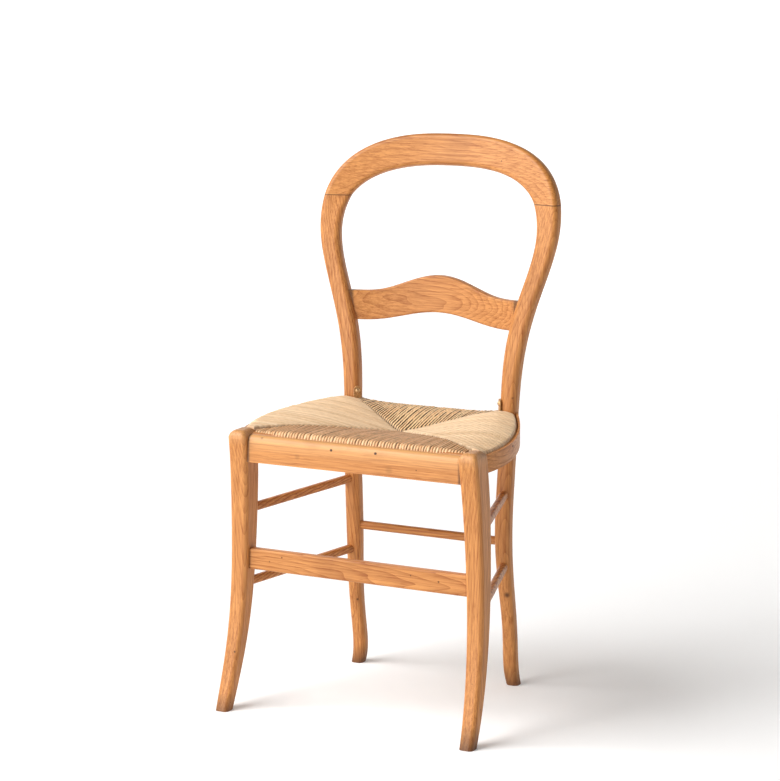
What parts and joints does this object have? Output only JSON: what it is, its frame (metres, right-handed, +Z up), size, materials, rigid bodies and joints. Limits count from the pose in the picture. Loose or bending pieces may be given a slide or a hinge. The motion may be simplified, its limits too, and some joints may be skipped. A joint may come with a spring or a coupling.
{
  "type": "wooden chair",
  "caption": "Balloon-back wooden dining chair with swept legs, a serpentine back rail, stretchers and a woven straw seat.",
  "frame": {"origin": "on the floor, midway between the front and rear limits and between the sides", "axes": "+X to the right seen from the front, +Y from the front to the back, +Z up"},
  "size_m": [0.449, 0.4169, 0.893],
  "materials": {
    "frame_wood": "worn honey-coloured varnish",
    "seat_rail_wood": "bare wood, hidden",
    "straw": "twisted natural straw",
    "fittings": "dull and tarnished"
  },
  "bodies": {
    "root": {"rear_post_right": "frame_wood", "rear_post_left": "frame_wood", "front_leg_right": "frame_wood", "front_leg_left": "frame_wood", "crest_rail": "frame_wood", "back_rail": "frame_wood", "front_stretcher": "frame_wood", "rear_stretcher": "frame_wood", "upper_side_stretcher_right": "frame_wood", "upper_side_stretcher_left": "frame_wood", "lower_side_stretcher_right": "frame_wood", "lower_side_stretcher_left": "frame_wood", "front_cover_strip": "frame_wood", "side_cover_strip_right": "frame_wood", "side_cover_strip_left": "frame_wood", "front_seat_rail": "seat_rail_wood", "rear_seat_rail": "seat_rail_wood", "side_seat_rail_right": "seat_rail_wood", "side_seat_rail_left": "seat_rail_wood", "crest_dowels": "seat_rail_wood", "straw_seat": "straw", "corner_bracket_right": "fittings", "corner_bracket_left": "fittings", "bracket_screws": "fittings", "front_strip_nails": "fittings", "side_strip_nails": "fittings"}
  },
  "joints": []
}
